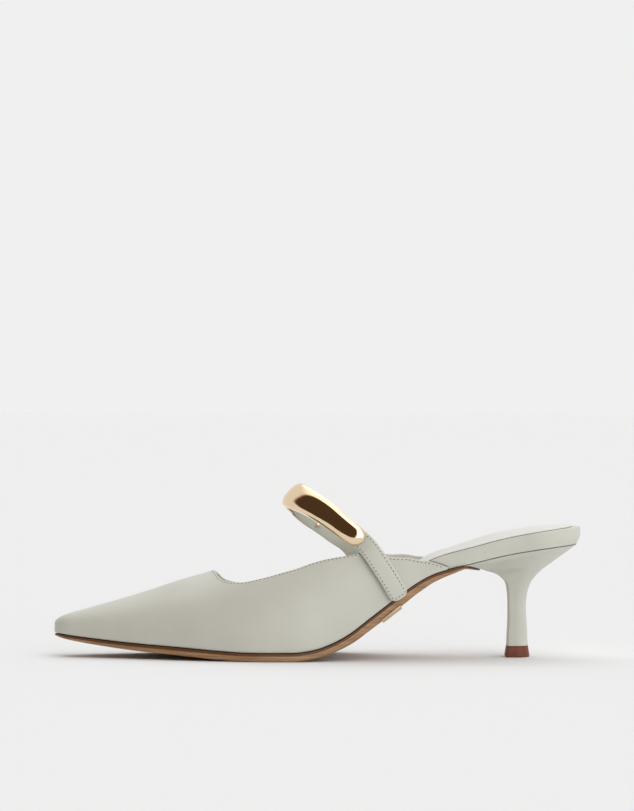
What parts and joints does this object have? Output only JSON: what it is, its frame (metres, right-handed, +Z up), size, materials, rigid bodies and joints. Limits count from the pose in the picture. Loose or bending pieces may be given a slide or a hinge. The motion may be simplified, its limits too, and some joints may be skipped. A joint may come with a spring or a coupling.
{
  "type": "pointed toe mule",
  "caption": "Left pointed toe mule in pale leather with a slim kitten heel, an instep strap under a polished gold metal shell, and a tan leather sole.",
  "frame": {"origin": "middle of the heel tip's flat underside, on the floor plane", "axes": "+X runs from the toe to the heel along the shoe, +Y to the medial side, +Z up"},
  "size_m": [0.263, 0.0787, 0.0869],
  "materials": {
    "upper_leather": "smooth semi-matte pale leather",
    "sock_leather": "smooth lining leather",
    "sole_leather": "tan sole leather with a dark brown band along its top",
    "heel_tip_rubber": "brown tip rubber",
    "gold_metal": "polished pale gold"
  },
  "bodies": {
    "root": {"upper": "upper_leather", "insole": "upper_leather", "sock": "sock_leather", "outsole": "sole_leather", "heel": "upper_leather", "heel_tip": "heel_tip_rubber", "strap": "upper_leather", "ornament": "gold_metal", "rivet_near": "gold_metal", "rivet_far": "gold_metal", "waist_plate": "gold_metal"}
  },
  "joints": []
}
